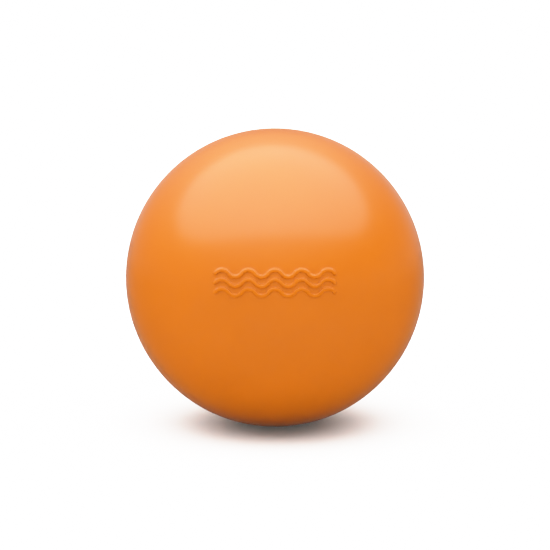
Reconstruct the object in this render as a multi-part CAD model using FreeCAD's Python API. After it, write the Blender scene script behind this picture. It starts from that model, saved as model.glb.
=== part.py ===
"""Filled massage ball, in its own frame: millimetres, +Z up, origin at the ball's centre.

Four pieces make it. Two moulded elastomer half shells meet on the XZ plane, where a tongue on the front
one is welded into a groove in the rear one. A tapered plug closes the filling hole at +Y. Loose granulate
fills a little under half of the cavity and lies level. A raised mark of three waves is moulded on the front
half, facing -Y.
"""

import FreeCAD
import Part

import math
import os

# Driving dimensions
BALL_DIAMETER = 65.0
WALL = 3.0
SEAM_CHAMFER = 0.12  # on both halves, so the parting line shows as a fine groove

# Tongue and groove along the middle of the wall
TONGUE_WIDTH = 0.9
TONGUE_LENGTH = 1.2
GROOVE_CLEARANCE = 0.05

# Raised mark: parallel waves, each a chain of equal arcs with round ends
MARK_ROWS = 3
MARK_ROW_PITCH = 1.95
MARK_HALF_WAVES = 9  # odd, so the mark is the same in a mirror
MARK_HALF_WAVE_LENGTH = 2.75
MARK_AMPLITUDE = 0.7
MARK_RIDGE_WIDTH = 0.75
MARK_RELIEF = 0.35
MARK_ROOT = 0.6  # how far the ridges reach down into the wall before they are fused with it
MARK_ELEVATION_DEG = 8.0  # above the front pole

# Filling hole and plug, coaxial with Y
PLUG_HEAD_RADIUS = 4.2
PLUG_HEAD_HEIGHT = 0.9
PLUG_STEM_OUTER_RADIUS = 3.1
PLUG_STEM_INNER_RADIUS = 2.7
PLUG_EDGE_CHAMFER = 0.15
PLUG_CLEARANCE = 0.03

# Granulate
FILLING_CLEARANCE = 0.3
FILLING_LEVEL = -2.0  # height of the free surface

BALL_RADIUS = BALL_DIAMETER / 2
CAVITY_RADIUS = BALL_RADIUS - WALL
MID_WALL_RADIUS = BALL_RADIUS - WALL / 2
ORIGIN = FreeCAD.Vector(0, 0, 0)
X_AXIS = FreeCAD.Vector(1, 0, 0)
Y_AXIS = FreeCAD.Vector(0, 1, 0)


def profile_point(radius, y):
    """A point of a profile that is turned round the Y axis."""
    return FreeCAD.Vector(radius, y, 0)


def on_sphere(sphere_radius, radius):
    """The y, towards +Y, at which a sphere round the origin is that far from the Y axis."""
    return math.sqrt(sphere_radius**2 - radius**2)


def sphere_arc(sphere_radius, start, end):
    """An arc of a sphere's profile between two profile points on it."""
    middle = (start + end).normalize() * sphere_radius
    return Part.Arc(start, middle, end).toShape()


def lines(*points):
    """Straight edges from each point to the next."""
    return [Part.makeLine(a, b) for a, b in zip(points, points[1:])]


def turned(edges):
    """The solid swept by a closed profile all the way round the Y axis."""
    wire = Part.Wire(Part.__sortEdges__(edges))
    return Part.Face(wire).revolve(ORIGIN, Y_AXIS, 360)


def seam_step(half_width, depth):
    """Profile points of a square step in the seam plane, from outside inwards: a tongue or a groove."""
    outer, inner = MID_WALL_RADIUS + half_width, MID_WALL_RADIUS - half_width
    return [
        profile_point(outer, 0),
        profile_point(outer, depth),
        profile_point(inner, depth),
        profile_point(inner, 0),
    ]


def wave_outline(rise):
    """The closed outline, in the XZ plane, of one wave ridge whose centreline swings about z = rise.

    Every half wave is one arc, so both sides of the ridge are concentric with it, and they run smoothly into
    the next half wave's where the centreline crosses z = rise.
    """
    half_width = MARK_RIDGE_WIDTH / 2
    chord = MARK_HALF_WAVE_LENGTH
    slope = 2 * math.atan(2 * MARK_AMPLITUDE / chord)  # of the centreline where it crosses
    first_x = -MARK_HALF_WAVES * chord / 2

    def crossing(i, side):
        """Where the side at +1 (upper), -1 (lower) or 0 (centre) passes crossing i."""
        lean = slope if i % 2 == 0 else -slope
        offset = side * half_width
        return FreeCAD.Vector(
            first_x + i * chord - offset * math.sin(lean),
            0,
            rise + offset * math.cos(lean),
        )

    def crest(i, side):
        """The top or bottom of half wave i on one side."""
        swing = MARK_AMPLITUDE if i % 2 == 0 else -MARK_AMPLITUDE
        return FreeCAD.Vector(
            first_x + (i + 0.5) * chord, 0, rise + swing + side * half_width
        )

    def cap(i, outwards):
        """The round end at crossing i."""
        lean = slope if i % 2 == 0 else -slope
        along = FreeCAD.Vector(math.cos(lean), 0, math.sin(lean)) * outwards
        tip = crossing(i, 0) + along * half_width
        return Part.Arc(crossing(i, 1), tip, crossing(i, -1)).toShape()

    edges = [cap(0, -1), cap(MARK_HALF_WAVES, 1)]
    for i in range(MARK_HALF_WAVES):
        for side in (1, -1):
            arc = Part.Arc(crossing(i, side), crest(i, side), crossing(i + 1, side))
            edges.append(arc.toShape())
    return Part.Wire(Part.__sortEdges__(edges))


def mark():
    """The raised waves, as separate ridges that start inside the wall and stand proud of the ball."""
    skin = Part.makeSphere(BALL_RADIUS + MARK_RELIEF)
    core = Part.makeSphere(BALL_RADIUS - MARK_ROOT)
    middle_row = (MARK_ROWS - 1) / 2
    ridges = []
    for row in range(MARK_ROWS):
        rise = (row - middle_row) * MARK_ROW_PITCH
        prism = Part.Face(wave_outline(rise)).extrude(-Y_AXIS * BALL_DIAMETER)
        ridge = prism.common(skin).cut(core)
        ridge.rotate(ORIGIN, X_AXIS, -MARK_ELEVATION_DEG)
        ridges.append(ridge)
    return ridges


def front_half_shell():
    """The half towards -Y, with the tongue and the mark."""
    seam_edge = profile_point(BALL_RADIUS - SEAM_CHAMFER, 0)
    chamfer_end = profile_point(
        on_sphere(BALL_RADIUS, SEAM_CHAMFER), -SEAM_CHAMFER
    )
    outer_pole, inner_pole = profile_point(0, -BALL_RADIUS), profile_point(0, -CAVITY_RADIUS)
    inner_edge = profile_point(CAVITY_RADIUS, 0)
    tongue = seam_step(TONGUE_WIDTH / 2, TONGUE_LENGTH)
    edges = lines(chamfer_end, seam_edge, *tongue, inner_edge)
    edges += lines(inner_pole, outer_pole)
    edges.append(sphere_arc(BALL_RADIUS, outer_pole, chamfer_end))
    edges.append(sphere_arc(CAVITY_RADIUS, inner_pole, inner_edge))
    return turned(edges).fuse(mark())


def rear_half_shell():
    """The half towards +Y, with the groove and the stepped, tapered filling hole."""
    seam_edge = profile_point(BALL_RADIUS - SEAM_CHAMFER, 0)
    chamfer_end = profile_point(on_sphere(BALL_RADIUS, SEAM_CHAMFER), SEAM_CHAMFER)
    inner_edge = profile_point(CAVITY_RADIUS, 0)
    groove = seam_step(
        TONGUE_WIDTH / 2 + GROOVE_CLEARANCE, TONGUE_LENGTH + GROOVE_CLEARANCE
    )
    recess_radius = PLUG_HEAD_RADIUS + PLUG_CLEARANCE
    recess_floor = BALL_RADIUS - PLUG_HEAD_HEIGHT
    hole_outer_radius = PLUG_STEM_OUTER_RADIUS + PLUG_CLEARANCE
    hole_inner_radius = PLUG_STEM_INNER_RADIUS + PLUG_CLEARANCE
    rim = profile_point(
        recess_radius + PLUG_EDGE_CHAMFER,
        on_sphere(BALL_RADIUS, recess_radius + PLUG_EDGE_CHAMFER),
    )
    recess_top = profile_point(recess_radius, rim.y - PLUG_EDGE_CHAMFER)
    hole_bottom = profile_point(
        hole_inner_radius, on_sphere(CAVITY_RADIUS, hole_inner_radius)
    )
    edges = lines(chamfer_end, seam_edge, *groove, inner_edge)
    edges += lines(
        rim,
        recess_top,
        profile_point(recess_radius, recess_floor),
        profile_point(hole_outer_radius, recess_floor),
        hole_bottom,
    )
    edges.append(sphere_arc(BALL_RADIUS, chamfer_end, rim))
    edges.append(sphere_arc(CAVITY_RADIUS, hole_bottom, inner_edge))
    return turned(edges)


def fill_plug():
    """The tapered stopper, with a head that carries on the ball's own surface."""
    head_floor = BALL_RADIUS - PLUG_HEAD_HEIGHT + PLUG_CLEARANCE
    stem_end = on_sphere(CAVITY_RADIUS, PLUG_STEM_INNER_RADIUS)
    crown_radius = PLUG_HEAD_RADIUS - PLUG_EDGE_CHAMFER
    pole = profile_point(0, BALL_RADIUS)
    crown_edge = profile_point(crown_radius, on_sphere(BALL_RADIUS, crown_radius))
    outline = lines(
        crown_edge,
        profile_point(PLUG_HEAD_RADIUS, crown_edge.y - PLUG_EDGE_CHAMFER),
        profile_point(PLUG_HEAD_RADIUS, head_floor),
        profile_point(PLUG_STEM_OUTER_RADIUS, head_floor),
        profile_point(PLUG_STEM_INNER_RADIUS, stem_end),
        profile_point(0, stem_end),
        pole,
    )
    outline.append(sphere_arc(BALL_RADIUS, pole, crown_edge))
    return turned(outline)


def filling():
    """The granulate as one body: what lies below its level surface in the cavity."""
    radius = CAVITY_RADIUS - FILLING_CLEARANCE
    below = Part.makeBox(
        BALL_DIAMETER,
        BALL_DIAMETER,
        BALL_DIAMETER,
        FreeCAD.Vector(-BALL_RADIUS, -BALL_RADIUS, FILLING_LEVEL - BALL_DIAMETER),
    )
    return Part.makeSphere(radius).common(below)


PIECES = {
    "front_half_shell": front_half_shell,
    "rear_half_shell": rear_half_shell,
    "fill_plug": fill_plug,
    "filling": filling,
}

os.makedirs("parts", exist_ok=True)
for name, make in PIECES.items():
    shape = make()
    shape.exportStep(f"parts/{name}.step")
    print(name, "solids", len(shape.Solids), "valid", shape.isValid(), "mm3", round(shape.Volume))
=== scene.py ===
"""Looks of the filled massage ball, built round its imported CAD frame.

Metres, +Z up, origin at the ball's centre. Both half shells and the plug are turned about the Y axis, the
seam lies in the XZ plane, and the raised mark faces -Y. Every piece is one closed mesh.
"""

import math

import bmesh
import bpy
import numpy as np
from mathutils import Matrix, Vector
from mathutils.geometry import delaunay_2d_cdt
from mathutils.kdtree import KDTree


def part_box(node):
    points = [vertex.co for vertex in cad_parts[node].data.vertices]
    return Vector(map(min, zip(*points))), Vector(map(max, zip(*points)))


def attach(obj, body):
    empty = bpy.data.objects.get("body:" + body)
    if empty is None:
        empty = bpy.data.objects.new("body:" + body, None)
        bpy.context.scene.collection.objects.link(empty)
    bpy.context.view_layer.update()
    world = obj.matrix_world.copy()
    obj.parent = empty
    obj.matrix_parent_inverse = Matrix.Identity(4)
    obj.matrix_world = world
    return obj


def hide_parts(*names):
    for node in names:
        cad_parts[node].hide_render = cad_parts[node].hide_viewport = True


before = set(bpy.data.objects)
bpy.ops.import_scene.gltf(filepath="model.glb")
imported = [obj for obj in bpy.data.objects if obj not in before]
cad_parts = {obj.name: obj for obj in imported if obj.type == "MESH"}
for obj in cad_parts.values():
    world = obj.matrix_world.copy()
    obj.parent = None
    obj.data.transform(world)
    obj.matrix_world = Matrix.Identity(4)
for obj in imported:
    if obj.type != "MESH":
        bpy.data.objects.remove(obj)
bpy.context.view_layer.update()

MM = 0.001

# ---------------------------------------------------------------- sizes

# Measured on the frame
BALL_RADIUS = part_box("fill_plug")[1].y
PLUG_HEAD_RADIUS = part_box("fill_plug")[1].x
PLUG_STEM_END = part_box("fill_plug")[0].y
TONGUE_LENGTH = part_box("front_half_shell")[1].y
FILLING_RADIUS = -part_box("filling")[0].z
FILLING_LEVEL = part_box("filling")[1].z

# Shell
WALL = 3 * MM
CAVITY_RADIUS = BALL_RADIUS - WALL
MID_WALL_RADIUS = BALL_RADIUS - WALL / 2
SEAM_GAP = 0.01 * MM  # from the seam plane to each half's edge
RIM_ROUNDING = 0.14 * MM
TONGUE_HALF_WIDTH = 0.45 * MM
GROOVE_CLEARANCE = 0.05 * MM
SMALL_ROUNDING = 0.1 * MM

# Filling hole and plug
PLUG_CLEARANCE = 0.03 * MM
PLUG_HEAD_HEIGHT = 0.9 * MM
STEM_OUTER_RADIUS = 3.1 * MM
STEM_INNER_RADIUS = 2.7 * MM
HOLE_ROUNDING = 0.16 * MM
DIMPLE_RADIUS = 0.8 * MM  # the gate mark in the middle of the plug's head
DIMPLE_FLOOR_RADIUS = 0.45 * MM
DIMPLE_DEPTH = 0.12 * MM

# Raised mark: rows of waves, each half wave one arc
MARK_ROWS = 3
MARK_ROW_PITCH = 1.95 * MM
MARK_HALF_WAVES = 9
MARK_HALF_WAVE_LENGTH = 2.75 * MM
MARK_AMPLITUDE = 0.7 * MM
MARK_RELIEF = 0.35 * MM
MARK_CROWN = 0.2 * MM  # half the width over which a ridge is at its full height
MARK_FOOT = 0.52 * MM  # half the width at which it has run out into the ball
MARK_ELEVATION = math.radians(8)
MARK_SLOPE = 2 * math.atan(2 * MARK_AMPLITUDE / MARK_HALF_WAVE_LENGTH)
MARK_FIELD = (16.5 * MM, 6.5 * MM)  # half axes of the oval of finer mesh round the mark

# How finely the meshes are divided
SHELL_SEGMENTS = 256  # round the Y axis, a multiple of 4
PLUG_SEGMENTS = 128
SPHERE_STEP = math.radians(1.25)
ROUNDING_STEPS = 4
HALF_WAVE_STEPS = 24
CROWN_STEPS = 2
RIDGE_WALL_STEPS = 8
CAP_STEPS = 12
FIELD_SPACING = 0.5 * MM
FIELD_MARGIN = 0.7  # of the spacing, kept clear inside the oval
FRONT_CAP_RADIUS = 0.45 * CAVITY_RADIUS  # of the quad grid at the front end of the cavity wall
FILLING_CELLS = 208  # across the filling's surface

# Grains of the filling
GRAIN_SPACING = 1.15 * MM
GRAIN_RADII = (0.68 * MM, 0.88 * MM)
GRAIN_JITTER = 0.22 * MM
GRAIN_SINK = (1.0, 1.5)  # grain radii that a top grain's centre lies below the level
GRAINS_TRIED = 6
GOLDEN_ANGLE = math.pi * (3 - math.sqrt(5))
HEAP_SEED = 7
TONE_SEED = 8

# ---------------------------------------------------------------- mesh making


class Builder:
    """The points and faces of one mesh, gathered grid by grid."""

    def __init__(self):
        self.points = np.empty((0, 3))
        self.faces = []

    def add(self, points):
        """Adds points and returns their numbers, in the same rows and columns."""
        points = np.asarray(points, float)
        first = len(self.points)
        self.points = np.vstack([self.points, points.reshape(-1, 3)])
        return np.arange(first, len(self.points)).reshape(points.shape[:-1])

    def quads(self, grid, closed=False):
        """Quads between the neighbouring rows and columns of a grid of point numbers."""
        if closed:
            grid = np.hstack([grid, grid[:, :1]])
        corners = grid[:-1, :-1], grid[:-1, 1:], grid[1:, 1:], grid[1:, :-1]
        self.faces += np.stack(corners, -1).reshape(-1, 4).tolist()

    def make(self, name, **values):
        """The finished object, with its faces turned outwards and each value stored on the points."""
        mesh = bpy.data.meshes.new(name)
        mesh.from_pydata(self.points.tolist(), [], self.faces)
        work = bmesh.new()
        work.from_mesh(mesh)
        bmesh.ops.recalc_face_normals(work, faces=work.faces)
        work.to_mesh(mesh)
        work.free()
        for key, numbers in values.items():
            layer = mesh.attributes.new(key, "FLOAT", "POINT")
            layer.data.foreach_set("value", np.asarray(numbers, np.float32))
        mesh.shade_smooth()
        piece = bpy.data.objects.new(name, mesh)
        bpy.context.scene.collection.objects.link(piece)
        return piece


def ring_angles(segments):
    """Angles round the Y axis, from +X towards +Z."""
    return np.arange(segments) * math.tau / segments


def lathe(profile, segments):
    """Rows of points, one ring for each (distance from the Y axis, y) of a profile."""
    angles = ring_angles(segments)
    distance, y = np.asarray(profile).T[:, :, None]
    x, z = distance * np.cos(angles), distance * np.sin(angles)
    return np.stack([x, np.broadcast_to(y, x.shape), z], -1)


def sphere_profile(radius, start, end, step=SPHERE_STEP):
    """Profile points on a sphere between two angles from the +Y pole, both ends included."""
    count = max(2, round(abs(end - start) / step))
    angles = np.linspace(start, end, count + 1)
    return np.stack([radius * np.sin(angles), radius * np.cos(angles)], -1)


def off_axis(radius, distance):
    """The angle from the pole at which a sphere is that far from the Y axis."""
    return math.asin(distance / radius)


def rounded(corners, closed=False):
    """A profile with rounded corners, from (distance, y, rounding) rows."""
    corners = np.asarray(corners, float)
    profile = []
    for i, (distance, y, rounding) in enumerate(corners):
        here = np.array([distance, y])
        at_end = not closed and i in (0, len(corners) - 1)
        if rounding == 0 or at_end:
            profile.append(here)
            continue
        back = corners[i - 1, :2] - here
        ahead = corners[(i + 1) % len(corners), :2] - here
        back /= np.linalg.norm(back)
        ahead /= np.linalg.norm(ahead)
        half = math.acos(np.clip(back @ ahead, -1, 1)) / 2
        inwards = (back + ahead) / np.linalg.norm(back + ahead)
        centre = here + inwards * rounding / math.sin(half)
        start = here + back * rounding / math.tan(half) - centre
        end = here + ahead * rounding / math.tan(half) - centre
        for share in np.linspace(0, 1, ROUNDING_STEPS + 1):
            spoke = start * (1 - share) + end * share
            profile.append(centre + spoke * rounding / np.linalg.norm(spoke))
    return np.array(profile)


def plain(profile):
    """Profile points as corners with no rounding."""
    return [(distance, y, 0) for distance, y in profile]


def disc_spokes(cells):
    """A square grid of cells bent into the unit disc: each point's radius and angle.

    Its rim has 4 * cells points.
    """
    side = np.linspace(-1, 1, cells + 1)
    across, up = np.meshgrid(side, side, indexing="ij")
    wide = abs(across) >= abs(up)
    reach = np.where(wide, across, up)
    safe = np.where(reach == 0, 1, reach)
    turn = np.where(wide, up / safe, 2 - across / safe) * math.pi / 4
    x, y = reach * np.cos(turn), reach * np.sin(turn)
    return np.hypot(x, y), np.arctan2(y, x)


def close_disc(builder, ring, surface):
    """Fills a ring with a quad grid. surface gives the points for arrays of unit radius and angle."""
    cells = len(ring) // 4
    radius, angle = disc_spokes(cells)
    grid = builder.add(surface(radius, angle))
    rim = np.ones(grid.shape, bool)
    rim[1:-1, 1:-1] = False
    grid[rim] = ring[np.round(angle[rim] / math.tau * len(ring)).astype(int) % len(ring)]
    builder.quads(grid)


def drop_unused(builder, *values):
    """Deletes the points that no face uses, and the same rows of each array of values."""
    used = np.zeros(len(builder.points), bool)
    for face in builder.faces:
        used[list(face)] = True
    number = np.cumsum(used) - 1
    builder.points = builder.points[used]
    builder.faces = [[int(number[corner]) for corner in face] for face in builder.faces]
    return [value[used] for value in values]


# ---------------------------------------------------------------- raised mark


def ridge_height(distance):
    """How far a ridge stands up at a distance from its centreline: a flat crown and a rounded wall."""
    share = np.clip((abs(distance) - MARK_CROWN) / (MARK_FOOT - MARK_CROWN), 0, 1)
    return MARK_RELIEF * (1 + np.cos(math.pi * share)) / 2


def mark_point(plane, height):
    """Points of the skin over points (right, up) of the plane that faces the mark, raised by height."""
    right, up = plane[..., 0], plane[..., 1]
    out = np.sqrt((BALL_RADIUS + height) ** 2 - right**2 - up**2)
    cos, sin = math.cos(MARK_ELEVATION), math.sin(MARK_ELEVATION)
    return np.stack([right, up * sin - out * cos, up * cos + out * sin], -1)


def ridge_offsets():
    """Distances from a ridge's centreline at which its mesh has lines, on one side."""
    crown = np.linspace(0, MARK_CROWN, CROWN_STEPS + 1)[1:]
    wall = np.linspace(MARK_CROWN, MARK_FOOT, RIDGE_WALL_STEPS + 1)[1:]
    return np.concatenate([crown, wall])


def wave_rows(rise, offsets):
    """Plane points of one wave: a row for each step along it and a column for each offset."""
    radius = MARK_HALF_WAVE_LENGTH / 2 / math.sin(MARK_SLOPE)
    turns = np.linspace(-MARK_SLOPE, MARK_SLOPE, HALF_WAVE_STEPS + 1)[:, None]
    rows = []
    for i in range(MARK_HALF_WAVES):
        side = 1 if i % 2 == 0 else -1
        middle = (i + 0.5 - MARK_HALF_WAVES / 2) * MARK_HALF_WAVE_LENGTH
        centre = rise + side * (MARK_AMPLITUDE - radius)
        reach = radius + side * offsets
        right = middle + reach * np.sin(turns)
        up = centre + side * reach * np.cos(turns)
        last = None if i == MARK_HALF_WAVES - 1 else -1
        rows.append(np.stack([right, up], -1)[:last])
    return np.concatenate(rows)


def round_end(builder, heights, plane_points, row, tip, lean, outwards):
    """The half-round end of a ridge, at its first or last row. Returns the numbers round its foot."""
    half = len(row) // 2
    upper, lower = row[half + 1 :], row[:half][::-1]
    spokes = np.linspace(0, math.pi, CAP_STEPS + 1)[1:-1, None]
    reach = ridge_offsets()
    normal = np.array([-math.sin(lean), math.cos(lean)])
    ahead = np.array([math.cos(lean), math.sin(lean)]) * outwards
    plane = (
        tip
        + (np.cos(spokes) * reach)[..., None] * normal
        + (np.sin(spokes) * reach)[..., None] * ahead
    )
    height = np.broadcast_to(ridge_height(reach), plane.shape[:-1])
    inner = builder.add(mark_point(plane, height))
    heights.append(height.ravel())
    plane_points.append(plane.reshape(-1, 2))
    fan = np.vstack([upper, inner, lower])
    builder.quads(fan)
    for a, b in zip(fan[:-1, 0], fan[1:, 0]):
        builder.faces.append([int(row[half]), int(a), int(b)])
    return fan[:, -1]


def add_ridge(builder, heights, plane_points, rise):
    """One ridge. Returns the numbers of the points round its foot, in order."""
    one_side = ridge_offsets()
    offsets = np.concatenate([-one_side[::-1], [0], one_side])
    plane = wave_rows(rise, offsets)
    height = np.broadcast_to(ridge_height(offsets), plane.shape[:-1])
    grid = builder.add(mark_point(plane, height))
    heights.append(height.ravel())
    plane_points.append(plane.reshape(-1, 2))
    builder.quads(grid)
    middle = len(one_side)
    left = round_end(builder, heights, plane_points, grid[0], plane[0, middle], MARK_SLOPE, -1)
    right = round_end(builder, heights, plane_points, grid[-1], plane[-1, middle], -MARK_SLOPE, 1)
    return np.concatenate([grid[:-1, -1], right[:-1], grid[:0:-1, 0], left[:0:-1]])


def field_points(centrelines):
    """Plane points for the plain skin between the ridges and the oval, on a triangular grid."""
    wide, tall = MARK_FIELD
    row_height = FIELD_SPACING * math.sqrt(3) / 2
    points = []
    for j in range(-int(tall / row_height), int(tall / row_height) + 1):
        shift = FIELD_SPACING / 2 * (j % 2)
        count = int(wide / FIELD_SPACING) + 1
        points += [(i * FIELD_SPACING + shift, j * row_height) for i in range(-count, count)]
    points = np.array(points)
    inside = np.hypot(points[:, 0] / wide, points[:, 1] / tall) < 1 - FIELD_MARGIN * FIELD_SPACING / tall
    points = points[inside]
    gaps = np.linalg.norm(points[:, None] - centrelines[None, :: HALF_WAVE_STEPS // 8], axis=-1)
    return points[gaps.min(1) > MARK_FOOT + FIELD_SPACING / 2]


def mark_field(builder):
    """The oval of skin with the mark. Returns the numbers round the oval and every point's ridge height."""
    heights, plane_points, feet = [], [], []
    middle_row = (MARK_ROWS - 1) / 2
    rises = [(row - middle_row) * MARK_ROW_PITCH for row in range(MARK_ROWS)]
    for rise in rises:
        feet.append(add_ridge(builder, heights, plane_points, rise))
    centrelines = np.concatenate([wave_rows(rise, np.zeros(1))[:, 0] for rise in rises])

    angles = ring_angles(SHELL_SEGMENTS)
    oval_plane = np.stack([np.cos(angles) * MARK_FIELD[0], np.sin(angles) * MARK_FIELD[1]], -1)
    loose_plane = field_points(centrelines)
    oval = builder.add(mark_point(oval_plane, 0))
    loose = builder.add(mark_point(loose_plane, 0))
    heights.append(np.zeros(len(oval) + len(loose)))
    plane_points += [oval_plane, loose_plane]
    plane = np.concatenate(plane_points)

    corners = np.concatenate([*feet, oval, loose])
    ends = np.cumsum([len(foot) for foot in feet])
    outlines = [list(range(end - 1, end - len(foot) - 1, -1)) for foot, end in zip(feet, ends)]
    border = [(ends[-1] + k, ends[-1] + (k + 1) % len(oval)) for k in range(len(oval))]
    flat = [Vector(point) for point in plane[corners] / MM]
    inside_border = 1
    tolerance = 1e-6
    _, _, triangles, given, _, under_ridges = delaunay_2d_cdt(
        flat, border, outlines, inside_border, tolerance
    )
    for triangle, under_ridge in zip(triangles, under_ridges):
        if not under_ridge:
            builder.faces.append([int(corners[given[corner][0]]) for corner in triangle])
    return oval, np.concatenate(heights)


# ---------------------------------------------------------------- pieces


def front_shell():
    """The front half: the mark's oval, the skin out to the seam, the tongue, and the cavity wall."""
    builder = Builder()
    oval, heights = mark_field(builder)
    edge = -SEAM_GAP
    last_skin_angle = math.pi / 2 + SPHERE_STEP / 2
    skin_end = BALL_RADIUS * math.sin(last_skin_angle), BALL_RADIUS * math.cos(last_skin_angle)
    target = lathe([skin_end], SHELL_SEGMENTS)[0]
    start = builder.points[oval]
    cosine = np.sum(start * target, -1) / BALL_RADIUS**2
    span = np.arccos(cosine)[:, None]
    steps = round(float(np.median(span)) / SPHERE_STEP)
    rows = []
    for k in range(1, steps + 1):
        share = k / steps
        mixed = np.sin((1 - share) * span) * start + np.sin(share * span) * target
        rows.append(mixed / np.sin(span))
    tongue_outer = MID_WALL_RADIUS + TONGUE_HALF_WIDTH
    tongue_inner = MID_WALL_RADIUS - TONGUE_HALF_WIDTH
    cap_angle = math.pi - off_axis(CAVITY_RADIUS, FRONT_CAP_RADIUS)
    corners = [
        (*skin_end, 0),
        (BALL_RADIUS, edge, RIM_ROUNDING),
        (tongue_outer, edge, SMALL_ROUNDING),
        (tongue_outer, TONGUE_LENGTH, SMALL_ROUNDING),
        (tongue_inner, TONGUE_LENGTH, SMALL_ROUNDING),
        (tongue_inner, edge, SMALL_ROUNDING),
        (CAVITY_RADIUS, edge, SMALL_ROUNDING),
        *plain(sphere_profile(CAVITY_RADIUS, math.pi / 2 + SPHERE_STEP, cap_angle)),
    ]
    rows += list(lathe(rounded(corners)[1:], SHELL_SEGMENTS))
    grid = np.vstack([oval, builder.add(np.array(rows))])
    builder.quads(grid, closed=True)

    def pole(radius, angle):
        reach = radius * (math.pi - cap_angle)
        flat = CAVITY_RADIUS * np.sin(reach)
        y = -CAVITY_RADIUS * np.cos(reach)
        return np.stack([flat * np.cos(angle), y, flat * np.sin(angle)], -1)

    close_disc(builder, grid[-1], pole)
    relief = np.zeros(len(builder.points))
    relief[: len(heights)] = heights / MARK_RELIEF
    (relief,) = drop_unused(builder, relief)
    return builder.make("front_shell", relief=relief)


def rear_shell():
    """The rear half: the skin, the stepped, tapered filling hole, the cavity wall, and the groove."""
    recess_radius = PLUG_HEAD_RADIUS + PLUG_CLEARANCE
    recess_floor = BALL_RADIUS - PLUG_HEAD_HEIGHT
    rim_y = BALL_RADIUS * math.cos(off_axis(BALL_RADIUS, recess_radius))
    hole_outer = STEM_OUTER_RADIUS + PLUG_CLEARANCE
    hole_inner = STEM_INNER_RADIUS + PLUG_CLEARANCE
    hole_end = CAVITY_RADIUS * math.cos(off_axis(CAVITY_RADIUS, hole_inner))
    groove_half = TONGUE_HALF_WIDTH + GROOVE_CLEARANCE
    groove_floor = TONGUE_LENGTH + GROOVE_CLEARANCE
    groove_outer, groove_inner = MID_WALL_RADIUS + groove_half, MID_WALL_RADIUS - groove_half
    first_angle = math.pi / 2 - SPHERE_STEP
    skin_end = off_axis(BALL_RADIUS, recess_radius + 2 * HOLE_ROUNDING)
    cavity_start = off_axis(CAVITY_RADIUS, hole_inner + 2 * HOLE_ROUNDING)
    skin = sphere_profile(BALL_RADIUS, first_angle, skin_end)
    cavity = sphere_profile(CAVITY_RADIUS, cavity_start, first_angle)
    corners = [
        (BALL_RADIUS, SEAM_GAP, RIM_ROUNDING),
        *plain(skin),
        (recess_radius, rim_y, HOLE_ROUNDING),
        (recess_radius, recess_floor, SMALL_ROUNDING),
        (hole_outer, recess_floor, SMALL_ROUNDING),
        (hole_inner, hole_end, SMALL_ROUNDING),
        *plain(cavity),
        (CAVITY_RADIUS, SEAM_GAP, SMALL_ROUNDING),
        (groove_inner, SEAM_GAP, SMALL_ROUNDING),
        (groove_inner, groove_floor, SMALL_ROUNDING),
        (groove_outer, groove_floor, SMALL_ROUNDING),
        (groove_outer, SEAM_GAP, SMALL_ROUNDING),
    ]
    builder = Builder()
    grid = builder.add(lathe(rounded(corners, closed=True), SHELL_SEGMENTS))
    builder.quads(np.vstack([grid, grid[:1]]), closed=True)
    return builder.make("rear_shell")


def stopper():
    """The plug: a head that carries on the ball's curve, with its gate mark, and a tapered stem."""
    head_floor = BALL_RADIUS - PLUG_HEAD_HEIGHT + PLUG_CLEARANCE
    rim_y = BALL_RADIUS * math.cos(off_axis(BALL_RADIUS, PLUG_HEAD_RADIUS))
    cap_radius = DIMPLE_RADIUS * 1.5
    crown = sphere_profile(
        BALL_RADIUS,
        off_axis(BALL_RADIUS, cap_radius),
        off_axis(BALL_RADIUS, PLUG_HEAD_RADIUS - 2 * HOLE_ROUNDING),
        SPHERE_STEP / 4,
    )
    end_radius = STEM_INNER_RADIUS / 2
    corners = [
        *plain(crown),
        (PLUG_HEAD_RADIUS, rim_y, HOLE_ROUNDING),
        (PLUG_HEAD_RADIUS, head_floor, SMALL_ROUNDING),
        (STEM_OUTER_RADIUS, head_floor, SMALL_ROUNDING),
        (STEM_INNER_RADIUS, PLUG_STEM_END, SMALL_ROUNDING),
        (end_radius, PLUG_STEM_END, 0),
    ]
    builder = Builder()
    grid = builder.add(lathe(rounded(corners), PLUG_SEGMENTS))
    builder.quads(grid, closed=True)

    def head(radius, angle):
        distance = radius * cap_radius
        wall = (distance - DIMPLE_FLOOR_RADIUS) / (DIMPLE_RADIUS - DIMPLE_FLOOR_RADIUS)
        dip = DIMPLE_DEPTH * (1 + np.cos(math.pi * np.clip(wall, 0, 1))) / 2
        y = np.sqrt(BALL_RADIUS**2 - distance**2) - dip
        return np.stack([distance * np.cos(angle), y, distance * np.sin(angle)], -1)

    def end(radius, angle):
        distance = radius * end_radius
        y = np.full(distance.shape, PLUG_STEM_END)
        return np.stack([distance * np.cos(angle), y, distance * np.sin(angle)], -1)

    close_disc(builder, grid[0], head)
    close_disc(builder, grid[-1], end)
    drop_unused(builder)
    return builder.make("stopper")


def spiral(area):
    """Steps of a golden spiral over an area: the share of the area inside each step, and its angle."""
    count = round(area / (GRAIN_SPACING**2 * math.sqrt(3) / 2))
    k = np.arange(count) + 0.5
    return k / count, GOLDEN_ANGLE * k


def sunflower_bowl(radius):
    """Directions spread evenly over the lower half of a sphere."""
    share, turn = spiral(2 * math.pi * radius**2)
    down = 1 - share
    flat = np.sqrt(1 - down**2)
    return np.stack([flat * np.cos(turn), flat * np.sin(turn), -down], -1)


def sunflower_disc(radius):
    """Points spread evenly over a disc in the XY plane."""
    share, turn = spiral(math.pi * radius**2)
    reach = radius * np.sqrt(share)
    return np.stack([reach * np.cos(turn), reach * np.sin(turn), np.zeros(len(turn))], -1)


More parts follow.
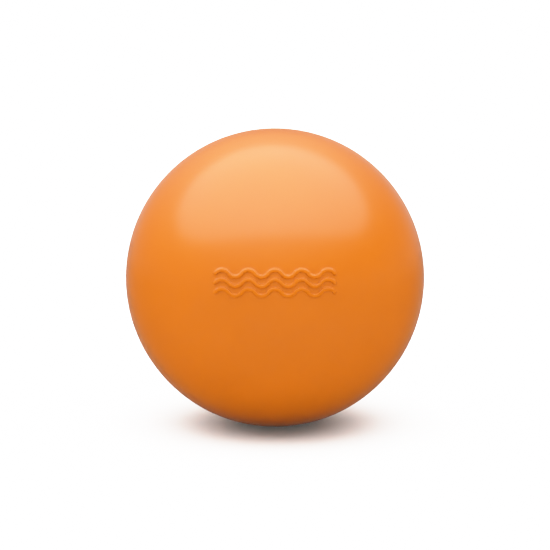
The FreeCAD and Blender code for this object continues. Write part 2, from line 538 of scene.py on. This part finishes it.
def grains(random):
    """Centres and radii of the grains on the heap's top and against the cavity wall."""
    top = sunflower_disc(math.sqrt(FILLING_RADIUS**2 - FILLING_LEVEL**2))
    bowl = sunflower_bowl(FILLING_RADIUS)
    radii = random.uniform(*GRAIN_RADII, len(top) + len(bowl))
    top_radii, bowl_radii = radii[: len(top), None], radii[len(top) :, None]
    sunk = random.uniform(*GRAIN_SINK, top_radii.shape)
    top = top + random.uniform(-1, 1, top.shape) * GRAIN_JITTER
    top[:, 2:] = FILLING_LEVEL - sunk * top_radii
    bowl = bowl * (FILLING_RADIUS - bowl_radii)
    bowl += random.uniform(-1, 1, bowl.shape) * GRAIN_JITTER / 2
    centres = np.vstack([top, bowl])
    reach = np.linalg.norm(centres, axis=1)
    centres *= np.minimum(1, (FILLING_RADIUS - radii) / reach)[:, None]
    centres[:, 2] = np.minimum(centres[:, 2], FILLING_LEVEL - radii)
    return centres, radii


def granulate():
    """The filling: one closed heap whose top and round underside are the outlines of packed grains."""
    builder = Builder()
    count = 4 * FILLING_CELLS
    angles = np.arange(count) * math.tau / count
    edge = math.acos(-FILLING_LEVEL / FILLING_RADIUS)
    width = FILLING_RADIUS * math.sin(edge)
    ring_points = [width * np.cos(angles), width * np.sin(angles), np.full(count, FILLING_LEVEL)]
    ring = builder.add(np.stack(ring_points, -1))

    def level(radius, angle):
        z = np.full(radius.shape, FILLING_LEVEL)
        return np.stack([width * radius * np.cos(angle), width * radius * np.sin(angle), z], -1)

    def bowl(radius, angle):
        turn = radius * edge
        flat = FILLING_RADIUS * np.sin(turn)
        z = -FILLING_RADIUS * np.cos(turn)
        return np.stack([flat * np.cos(angle), flat * np.sin(angle), z], -1)

    close_disc(builder, ring, level)
    on_top = len(builder.points)
    close_disc(builder, ring, bowl)
    points = builder.points
    out = points / FILLING_RADIUS
    out[:on_top] = (0, 0, 1)

    centres, radii = grains(np.random.default_rng(HEAP_SEED))
    tree = KDTree(len(centres))
    for i, centre in enumerate(centres):
        tree.insert(centre, i)
    tree.balance()
    near = np.array([[found[1] for found in tree.find_n(point, GRAINS_TRIED)] for point in points])
    to_centre = centres[near] - points[:, None]
    along = np.einsum("pgk,pk->pg", to_centre, out)
    aside = radii[near] ** 2 - (to_centre**2).sum(-1) + along**2
    lift = np.where(aside > 0, along + np.sqrt(np.maximum(aside, 0)), -GRAIN_RADII[0])
    cosine = np.clip(-points[:, 2] / np.linalg.norm(points, axis=1), -1, 1)
    from_edge = FILLING_RADIUS * abs(np.arccos(cosine) - edge)
    fade = np.clip(from_edge / GRAIN_SPACING, 0, 1)
    highest = lift.argmax(1)
    rows = np.arange(len(points))
    builder.points = points + out * (lift[rows, highest] * fade)[:, None]
    tone = np.random.default_rng(TONE_SEED).random(len(centres))[near[rows, highest]]
    (tone,) = drop_unused(builder, tone)
    return builder.make("granulate", tone=tone)


front = front_shell()
rear = rear_shell()
plug = stopper()
filling = granulate()

# ---------------------------------------------------------------- materials


NOISE_RANGE = (0.3, 0.7)  # most of Blender's noise lies in it


class Shader:
    """One material's nodes."""

    def __init__(self, name):
        self.material = bpy.data.materials.new(name)
        self.material.use_nodes = True
        self.tree = self.material.node_tree
        self.surface = self.tree.nodes["Principled BSDF"]
        self.place = self.add("ShaderNodeTexCoord").outputs["Object"]

    def add(self, kind, inputs=None, **settings):
        """A new node with these settings, and with a value or a link on each named input."""
        made = self.tree.nodes.new(kind)
        for key, value in settings.items():
            setattr(made, key, value)
        for key, value in (inputs or {}).items():
            self.feed(made.inputs[key], value)
        return made

    def feed(self, socket, value):
        """Links an output to a socket, or sets its value."""
        if isinstance(value, bpy.types.NodeSocket):
            self.tree.links.new(value, socket)
        else:
            socket.default_value = value

    def noise(self, size, detail=2.0):
        """Noise with features about that many metres across."""
        inputs = {"Vector": self.place, "Scale": 1 / size, "Detail": detail}
        return self.add("ShaderNodeTexNoise", inputs).outputs["Fac"]

    def spread(self, value, low, high):
        """Noise, which keeps near 0.5, spread over a range."""
        darkest, lightest = NOISE_RANGE
        inputs = {"Value": value, "From Min": darkest, "From Max": lightest, "To Min": low, "To Max": high}
        return self.add("ShaderNodeMapRange", inputs).outputs["Result"]

    def mix(self, share, first, second):
        """A colour between two others."""
        made = self.add("ShaderNodeMix", data_type="RGBA")
        factor, a, b = made.inputs[0], made.inputs[6], made.inputs[7]
        for socket, value in ((factor, share), (a, first), (b, second)):
            self.feed(socket, value)
        return made.outputs[2]

    def bump(self, height, depth, under=None):
        """A bump of that many metres, on top of another one."""
        inputs = {"Height": height, "Distance": depth, "Strength": 1.0}
        if under is not None:
            inputs["Normal"] = under
        return self.add("ShaderNodeBump", inputs).outputs["Normal"]


SHELL_COLOUR = (0.436, 0.117, 0.002)
PLUG_COLOUR = (0.41, 0.107, 0.002)
CLOUD_CONTRAST = 0.04  # how far the colour goes either way
SATIN_ROUGHNESS = (0.23, 0.26)
POLISHED_ROUGHNESS = 0.17  # of the raised mark's crowns, which hands rub first
ELASTOMER_IOR = 1.53
WAVINESS_DEPTH = 0.006 * MM
MOULDING_DEPTH = 0.002 * MM
BLOOM_WEIGHT = 0.18  # pale at grazing angles
BLOOM_ROUGHNESS = 0.3


def elastomer(name, colour):
    """Satin moulded elastomer.

    It has faint clouds in the colour, a slight waviness, a fine moulding grain and a pale bloom.
    """
    shader = Shader(name)
    dark = [channel * (1 - CLOUD_CONTRAST) for channel in colour] + [1]
    light = [channel * (1 + CLOUD_CONTRAST) for channel in colour] + [1]
    clouds = shader.spread(shader.noise(16 * MM), 0.25, 0.75)
    shader.feed(shader.surface.inputs["Base Color"], shader.mix(clouds, dark, light))
    satin = shader.spread(shader.noise(2.5 * MM, detail=4), *SATIN_ROUGHNESS)
    relief = shader.add("ShaderNodeAttribute", attribute_name="relief").outputs["Fac"]
    polish = {"Value": relief, "To Min": satin, "To Max": POLISHED_ROUGHNESS}
    worn = shader.add("ShaderNodeMapRange", polish).outputs["Result"]
    shader.feed(shader.surface.inputs["Roughness"], worn)
    waviness = shader.bump(shader.noise(5 * MM, detail=1), WAVINESS_DEPTH)
    moulding = shader.bump(shader.noise(0.16 * MM, detail=3), MOULDING_DEPTH, under=waviness)
    shader.feed(shader.surface.inputs["Normal"], moulding)
    shader.surface.inputs["IOR"].default_value = ELASTOMER_IOR
    shader.surface.inputs["Sheen Weight"].default_value = BLOOM_WEIGHT
    shader.surface.inputs["Sheen Roughness"].default_value = BLOOM_ROUGHNESS
    return shader.material


BROWN_SAND = (0.2, 0.13, 0.07, 1)
PALE_SAND = (0.52, 0.43, 0.3, 1)
SAND_SPECK = (0.1, 0.07, 0.04, 1)


def grain():
    """The filling's grains, each of its own tone between brown and pale sand."""
    shader = Shader("grain")
    tone = shader.add("ShaderNodeAttribute", attribute_name="tone").outputs["Fac"]
    sand = shader.mix(tone, BROWN_SAND, PALE_SAND)
    speck = shader.spread(shader.noise(0.3 * MM, detail=3), 0.0, 0.35)
    pits = shader.bump(shader.noise(0.12 * MM, detail=3), 0.02 * MM)
    shader.feed(shader.surface.inputs["Base Color"], shader.mix(speck, sand, SAND_SPECK))
    shader.feed(shader.surface.inputs["Roughness"], shader.spread(tone, 0.5, 0.75))
    shader.feed(shader.surface.inputs["Normal"], pits)
    return shader.material


DARK_PAPER = (0.825, 0.835, 0.84, 1)
LIGHT_PAPER = (0.835, 0.845, 0.85, 1)
PAPER_GLOW = 0.075  # not physical: a faint light of its own that lightens the shadow under the ball
PAPER_GLOW_COLOUR = (0.85, 1, 1, 1)


def paper():
    """The floor's pale, matt surface, with a faint glow."""
    shader = Shader("floor_paper")
    tone = shader.spread(shader.noise(40 * MM), 0.4, 0.6)
    shader.feed(shader.surface.inputs["Base Color"], shader.mix(tone, DARK_PAPER, LIGHT_PAPER))
    shader.surface.inputs["Roughness"].default_value = 0.9
    shader.surface.inputs["Specular IOR Level"].default_value = 0.0
    shader.surface.inputs["Emission Color"].default_value = PAPER_GLOW_COLOUR
    shader.surface.inputs["Emission Strength"].default_value = PAPER_GLOW
    return shader.material


shell_material = elastomer("shell_elastomer", SHELL_COLOUR)
for piece in (front, rear):
    piece.data.materials.append(shell_material)
plug.data.materials.append(elastomer("plug_elastomer", PLUG_COLOUR))
filling.data.materials.append(grain())

# ---------------------------------------------------------------- bodies, with the CAD parts hidden

for piece, node, body, slot in (
    (front, "front_half_shell", "shell", "shell"),
    (rear, "rear_half_shell", "shell", "shell"),
    (plug, "fill_plug", "plug", "plug"),
    (filling, "filling", "granulate", "granulate"),
):
    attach(piece, body)
    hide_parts(node)

# ---------------------------------------------------------------- floor, light and camera

# A round floor of pale paper that curves up at its edge, so that every view has it for a background
FLOOR_FLAT = 4.2
FLOOR_CURVE = 0.6
FLOOR_SEGMENTS = 64
FLOOR_FLAT_RINGS = 7
FLOOR_CURVE_STEPS = 16


def paper_sweep():
    """The floor and its upturned edge, as an open sheet."""
    rise = np.linspace(0, math.pi / 2, FLOOR_CURVE_STEPS + 1)
    flat = np.linspace(0, FLOOR_FLAT, FLOOR_FLAT_RINGS + 2)[1:-1]
    out = np.concatenate([flat, FLOOR_FLAT + FLOOR_CURVE * np.sin(rise)])
    up = np.concatenate([np.zeros(len(flat)), FLOOR_CURVE * (1 - np.cos(rise))]) - BALL_RADIUS
    angles = np.arange(FLOOR_SEGMENTS) * math.tau / FLOOR_SEGMENTS
    x, y = np.outer(out, np.cos(angles)), np.outer(out, np.sin(angles))
    z = np.broadcast_to(up[:, None], x.shape)
    builder = Builder()
    grid = builder.add(np.stack([x, y, z], -1))
    builder.quads(grid, closed=True)
    builder.faces.append(grid[0].tolist())
    return builder.make("floor")


floor = paper_sweep()
floor.data.materials.append(paper())
floor.visible_glossy = False  # not physical: it keeps the floor out of the ball's gloss

# An oval softbox hangs overhead. It reaches this many of its heights to the left, right, front and back.
SOFTBOX_HEIGHT = 3.0
SOFTBOX_LEFT, SOFTBOX_RIGHT = 2.1, 1.75
SOFTBOX_FRONT, SOFTBOX_BACK = 1.16, 0.85
SOFTBOX_RADIANCE = 1.9
softbox_data = bpy.data.lights.new("softbox", "AREA")
softbox_data.shape = "ELLIPSE"
softbox_data.size = (SOFTBOX_LEFT + SOFTBOX_RIGHT) * SOFTBOX_HEIGHT
softbox_data.size_y = (SOFTBOX_FRONT + SOFTBOX_BACK) * SOFTBOX_HEIGHT
softbox_area = math.pi / 4 * softbox_data.size * softbox_data.size_y
softbox_data.energy = SOFTBOX_RADIANCE * math.pi * softbox_area
softbox = bpy.data.objects.new("softbox", softbox_data)
softbox.location = (
    (SOFTBOX_RIGHT - SOFTBOX_LEFT) / 2 * SOFTBOX_HEIGHT,
    (SOFTBOX_BACK - SOFTBOX_FRONT) / 2 * SOFTBOX_HEIGHT,
    SOFTBOX_HEIGHT,
)
bpy.context.scene.collection.objects.link(softbox)

# Round it, a dome of soft light fades from overhead down to the horizon. It leans a little to the left and
# the front, and is dark below the horizon.
DOME_AXIS = (-0.097, -0.086, 0.992)
DOME_FADE = (0.06, 1.3)  # cosines from the axis of its darkest and its brightest, which is past the axis
HORIZON_RADIANCE = 0.26
DOME_RADIANCE = 2.9
GROUND_FADE = (-0.12, 0.0)  # sines of the angles above the horizon between which it comes up from black
world = bpy.data.worlds.new("studio")
world.use_nodes = True
nodes, links = world.node_tree.nodes, world.node_tree.links
direction = nodes.new("ShaderNodeTexCoord").outputs["Generated"]


def sky_fade(axis, stops, levels):
    """A value that goes from one level to the other between two cosines from an axis."""
    cosine = nodes.new("ShaderNodeVectorMath")
    cosine.operation = "DOT_PRODUCT"
    cosine.inputs[1].default_value = axis
    fade = nodes.new("ShaderNodeMapRange")
    fade.interpolation_type = "SMOOTHSTEP"
    ends = ("From Min", "From Max", "To Min", "To Max")
    for key, value in zip(ends, (*stops, *levels)):
        fade.inputs[key].default_value = value
    links.new(direction, cosine.inputs[0])
    links.new(cosine.outputs["Value"], fade.inputs["Value"])
    return fade.outputs["Result"]


radiance = nodes.new("ShaderNodeMath")
radiance.operation = "MULTIPLY"
links.new(sky_fade(DOME_AXIS, DOME_FADE, (HORIZON_RADIANCE, DOME_RADIANCE)), radiance.inputs[0])
links.new(sky_fade((0, 0, 1), GROUND_FADE, (0, 1)), radiance.inputs[1])
nodes["Background"].inputs["Color"].default_value = (1, 1, 1, 1)
links.new(radiance.outputs["Value"], nodes["Background"].inputs["Strength"])
bpy.context.scene.world = world

CAMERA_ELEVATION = math.radians(10)
CAMERA_DISTANCE = 0.6
BALL_SHARE = 0.543  # of the frame's width
AIM = Vector((0, 0, 0.00054))
camera_data = bpy.data.cameras.new("camera")
half_width = BALL_RADIUS / math.sqrt(CAMERA_DISTANCE**2 - BALL_RADIUS**2) / BALL_SHARE
camera_data.lens = camera_data.sensor_width / 2 / half_width
camera_data.clip_end = 20
camera = bpy.data.objects.new("camera", camera_data)
towards = Vector((0, -math.cos(CAMERA_ELEVATION), math.sin(CAMERA_ELEVATION)))
camera.location = AIM + towards * CAMERA_DISTANCE
camera.rotation_euler = (-towards).to_track_quat("-Z", "Y").to_euler()
bpy.context.scene.collection.objects.link(camera)
bpy.context.scene.camera = camera

# The picture's tone: a short toe that takes the veil of stray light off, and a shoulder before white
TOE = 0.038
TOE_LENGTH = 0.07
SHOULDER = 0.75
WHITE = 4.0  # scene brightness shown as pure white
view = bpy.context.scene.view_settings
view.view_transform = "Standard"


def tone(brightness):
    """What a scene brightness is shown as, both linear."""
    shown = brightness - TOE * (1 - math.exp(-brightness / TOE_LENGTH))
    if shown > SHOULDER:
        room = 1 - SHOULDER
        shown = SHOULDER + room * (1 - math.exp((SHOULDER - shown) / room))
    return shown


TONE_STOPS = (0.02, 0.05, 0.1, 0.2, 0.4, 0.6, 0.8, 1.0, 1.25, 1.6, 2.2, 3.0)
view.use_curve_mapping = True
view.curve_mapping.white_level = (WHITE, WHITE, WHITE)
view.curve_mapping.extend = "HORIZONTAL"
combined = view.curve_mapping.curves[3]
for stop in TONE_STOPS:
    combined.points.new(stop / WHITE, tone(stop))
view.curve_mapping.update()
